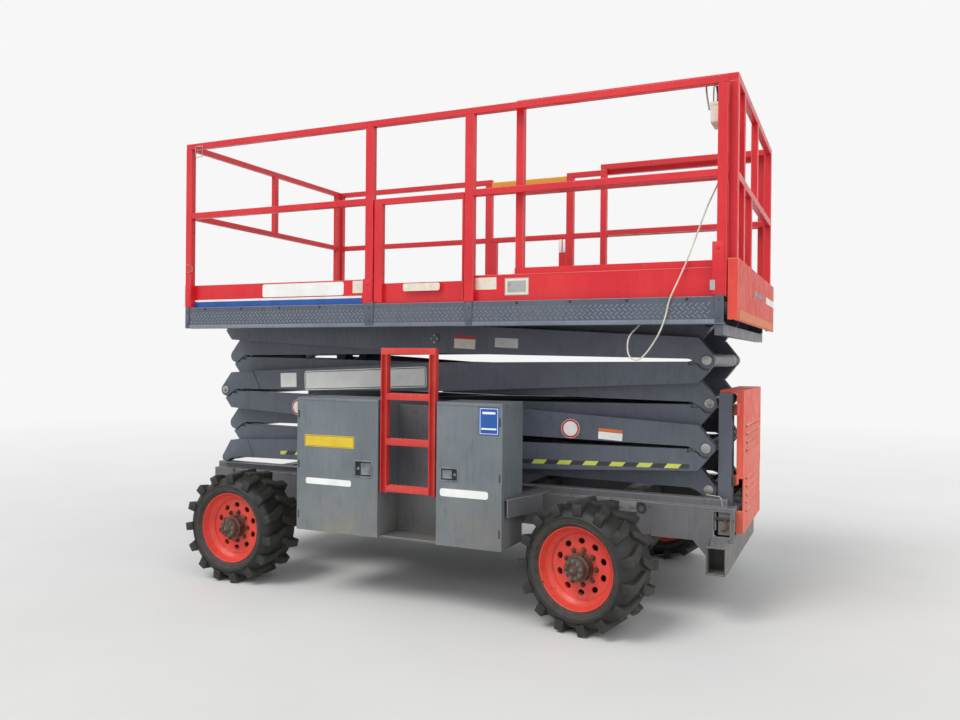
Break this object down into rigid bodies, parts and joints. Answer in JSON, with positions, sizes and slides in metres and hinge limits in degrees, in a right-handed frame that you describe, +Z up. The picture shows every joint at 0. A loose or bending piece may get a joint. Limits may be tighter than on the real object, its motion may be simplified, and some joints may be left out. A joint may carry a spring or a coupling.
{
  "type": "scissor lift",
  "caption": "Rough-terrain scissor lift with lugged tyres, folded four-stage scissor stack, railed platform with roll-out deck, side cabinets and ladder.",
  "frame": {"origin": "on the ground under the middle of the machine's box", "axes": "+X towards the steered axle and the platform extension, +Y to the far side, +Z up"},
  "size_m": [3.528, 2.2234, 2.786],
  "materials": {
    "tyre": "worn",
    "red_wheel": "satin",
    "red_paint": "satin",
    "grey_paint": "satin",
    "rod_chrome": "polished",
    "engine": "cast",
    "control_plastic": "matte"
  },
  "bodies": {
    "chassis": {"chassis_side_beams": "grey_paint", "chassis_cross_members": "grey_paint", "base_pivot_brackets": "grey_paint", "bumper_tube": "grey_paint", "bumper_hangers": "grey_paint", "tie_down_lugs": "grey_paint", "end_cover": "red_paint", "cover_posts": "grey_paint", "front_axle": "grey_paint", "rear_axle": "grey_paint", "cabinet_near_rear": "grey_paint", "cabinet_near_front": "grey_paint", "cabinet_far": "grey_paint", "engine_block": "engine", "cabinet_mounts": "grey_paint", "ladder": "red_paint", "ladder_recess": "grey_paint"},
    "knuckle_right_body": {"knuckle_right": "grey_paint"},
    "knuckle_left_body": {"knuckle_left": "grey_paint"},
    "roadwheel_front_right": {"tyre_front_right": "tyre", "wheel_front_right": "red_wheel"},
    "roadwheel_front_left": {"tyre_front_left": "tyre", "wheel_front_left": "red_wheel"},
    "roadwheel_rear_right": {"tyre_rear_right": "tyre", "wheel_rear_right": "red_wheel"},
    "roadwheel_rear_left": {"tyre_rear_left": "tyre", "wheel_rear_left": "red_wheel"},
    "cabinet_door_near_rear": {"door_near_rear": "grey_paint"},
    "cabinet_door_near_front": {"door_near_front": "grey_paint"},
    "cabinet_door_far_rear": {"door_far_rear": "grey_paint"},
    "cabinet_door_far_front": {"door_far_front": "grey_paint"},
    "inner_1": {"inner_arms_1": "grey_paint"},
    "outer_1": {"outer_arms_1": "grey_paint"},
    "inner_2": {"inner_arms_2": "grey_paint"},
    "outer_2": {"outer_arms_2": "grey_paint"},
    "inner_3": {"inner_arms_3": "grey_paint"},
    "outer_3": {"outer_arms_3": "grey_paint"},
    "inner_4": {"inner_arms_4": "grey_paint"},
    "outer_4": {"outer_arms_4": "grey_paint"},
    "barrel_lower": {"lift_barrel_lower": "grey_paint"},
    "rod_lower": {"lift_rod_lower": "rod_chrome"},
    "barrel_upper": {"lift_barrel_upper": "grey_paint"},
    "rod_upper": {"lift_rod_upper": "rod_chrome"},
    "platform": {"deck_side_skirts": "grey_paint", "deck_floor": "grey_paint", "deck_guides": "grey_paint", "deck_pivot_brackets": "grey_paint", "toe_boards": "red_paint", "guard_rail_posts": "red_paint", "guard_side_rails": "red_paint", "guard_end_rails": "red_paint", "control_box": "control_plastic", "control_lead": "control_plastic"},
    "gate": {"entry_gate": "red_paint"},
    "extension": {"extension_floor": "grey_paint", "extension_toe_boards": "red_paint", "extension_end_plate": "red_paint", "extension_posts": "red_paint", "extension_side_rails": "red_paint", "extension_end_rails": "red_paint"}
  },
  "joints": [
    {"name": "wheel_front_right_spin", "type": "hinge", "parent": "knuckle_right_body", "child": "roadwheel_front_right", "pos_m": [1.03215, -0.9027, 0.33], "axis": [0.1908, 0.9816, 0], "continuous": true},
    {"name": "wheel_front_left_spin", "type": "hinge", "parent": "knuckle_left_body", "child": "roadwheel_front_left", "pos_m": [1.07985, 0.9027, 0.33], "axis": [0.1908, 0.9816, 0], "continuous": true},
    {"name": "wheel_rear_right_spin", "type": "hinge", "parent": "chassis", "child": "roadwheel_rear_right", "pos_m": [-1.202, -0.905, 0.33], "axis": [0, 1, 0], "continuous": true},
    {"name": "wheel_rear_left_spin", "type": "hinge", "parent": "chassis", "child": "roadwheel_rear_left", "pos_m": [-1.202, 0.905, 0.33], "axis": [0, 1, 0], "continuous": true},
    {"name": "steer_right", "type": "hinge", "parent": "chassis", "child": "knuckle_right_body", "pos_m": [1.056, -0.78, 0.33], "axis": [0, 0, 1], "range_deg": [-19, 41]},
    {"name": "steer_left", "type": "hinge", "parent": "chassis", "child": "knuckle_left_body", "pos_m": [1.056, 0.78, 0.33], "axis": [0, 0, 1], "range_deg": [-19, 41]},
    {"name": "door_near_rear_swing", "type": "hinge", "parent": "chassis", "child": "cabinet_door_near_rear", "pos_m": [-0.678, -1.06, 0.7635], "axis": [0, 0, -1], "range_deg": [0, 100]},
    {"name": "door_near_front_swing", "type": "hinge", "parent": "chassis", "child": "cabinet_door_near_front", "pos_m": [0.62, -1.06, 0.7635], "axis": [0, 0, 1], "range_deg": [0, 100]},
    {"name": "door_far_rear_swing", "type": "hinge", "parent": "chassis", "child": "cabinet_door_far_rear", "pos_m": [-0.678, 1.06, 0.7635], "axis": [0, 0, 1], "range_deg": [0, 100]},
    {"name": "door_far_front_swing", "type": "hinge", "parent": "chassis", "child": "cabinet_door_far_front", "pos_m": [0.62, 1.06, 0.7635], "axis": [0, 0, -1], "range_deg": [0, 100]},
    {"name": "lift", "type": "hinge", "parent": "chassis", "child": "inner_1", "pos_m": [1.558, 0, 0.68], "axis": [0, 1, 0], "range_deg": [0, 59.5]},
    {"name": "outer_1_hinge", "type": "hinge", "parent": "inner_1", "child": "outer_1", "pos_m": [-0.07281, 0, 0.797], "axis": [0, 1, 0], "range_deg": [-119.5, 0]},
    {"name": "inner_2_hinge", "type": "hinge", "parent": "inner_1", "child": "inner_2", "pos_m": [-1.70362, 0, 0.914], "axis": [0, 1, 0], "range_deg": [-119.5, 0]},
    {"name": "outer_2_hinge", "type": "hinge", "parent": "inner_2", "child": "outer_2", "pos_m": [-0.07281, 0, 1.031], "axis": [0, 1, 0], "range_deg": [0, 119.5]},
    {"name": "inner_3_hinge", "type": "hinge", "parent": "inner_2", "child": "inner_3", "pos_m": [1.558, 0, 1.148], "axis": [0, 1, 0], "range_deg": [0, 119.5]},
    {"name": "outer_3_hinge", "type": "hinge", "parent": "inner_3", "child": "outer_3", "pos_m": [-0.07281, 0, 1.265], "axis": [0, 1, 0], "range_deg": [-119.5, 0]},
    {"name": "inner_4_hinge", "type": "hinge", "parent": "inner_3", "child": "inner_4", "pos_m": [-1.70362, 0, 1.382], "axis": [0, 1, 0], "range_deg": [-119.5, 0]},
    {"name": "outer_4_hinge", "type": "hinge", "parent": "inner_4", "child": "outer_4", "pos_m": [-0.07281, 0, 1.499], "axis": [0, 1, 0], "range_deg": [0, 119.5]},
    {"name": "platform_hinge", "type": "hinge", "parent": "inner_4", "child": "platform", "pos_m": [1.558, 0, 1.616], "axis": [0, 1, 0], "range_deg": [0, 60]},
    {"name": "barrel_lower_hinge", "type": "hinge", "parent": "inner_1", "child": "barrel_lower", "pos_m": [1.22737, 0, 0.75285], "axis": [0, 1, 0], "range_deg": [0, 9.96]},
    {"name": "rod_lower_slide", "type": "slide", "parent": "barrel_lower", "child": "rod_lower", "axis": [-0.9983, 0, 0.0587], "range_m": [0, 1.00532]},
    {"name": "barrel_upper_hinge", "type": "hinge", "parent": "inner_3", "child": "barrel_upper", "pos_m": [1.22737, 0, 1.22085], "axis": [0, 1, 0], "range_deg": [0, 9.96]},
    {"name": "rod_upper_slide", "type": "slide", "parent": "barrel_upper", "child": "rod_upper", "axis": [-0.9983, 0, 0.0587], "range_m": [0, 1.00532]},
    {"name": "gate_swing", "type": "hinge", "parent": "platform", "child": "gate", "pos_m": [-0.286, -0.8363, 2], "axis": [0, 0, 1], "range_deg": [0, 88]},
    {"name": "extension_slide", "type": "slide", "parent": "platform", "child": "extension", "axis": [1, 0, 0], "range_m": [0, 0.9]}
  ],
  "couplings": [
    {"joint": "outer_1_hinge", "follows": "lift", "ratio": -2},
    {"joint": "inner_2_hinge", "follows": "lift", "ratio": -2},
    {"joint": "outer_2_hinge", "follows": "lift", "ratio": 2},
    {"joint": "inner_3_hinge", "follows": "lift", "ratio": 2},
    {"joint": "outer_3_hinge", "follows": "lift", "ratio": -2},
    {"joint": "inner_4_hinge", "follows": "lift", "ratio": -2},
    {"joint": "outer_4_hinge", "follows": "lift", "ratio": 2},
    {"joint": "platform_hinge", "follows": "lift", "ratio": 1},
    {"joint": "barrel_lower_hinge", "follows": "lift", "ratio": 0.15903},
    {"joint": "rod_lower_slide", "follows": "lift", "m_per_rad": 0.96615},
    {"joint": "barrel_upper_hinge", "follows": "lift", "ratio": 0.15903},
    {"joint": "rod_upper_slide", "follows": "lift", "m_per_rad": 0.96615},
    {"joint": "steer_left", "follows": "steer_right", "ratio": 1}
  ]
}
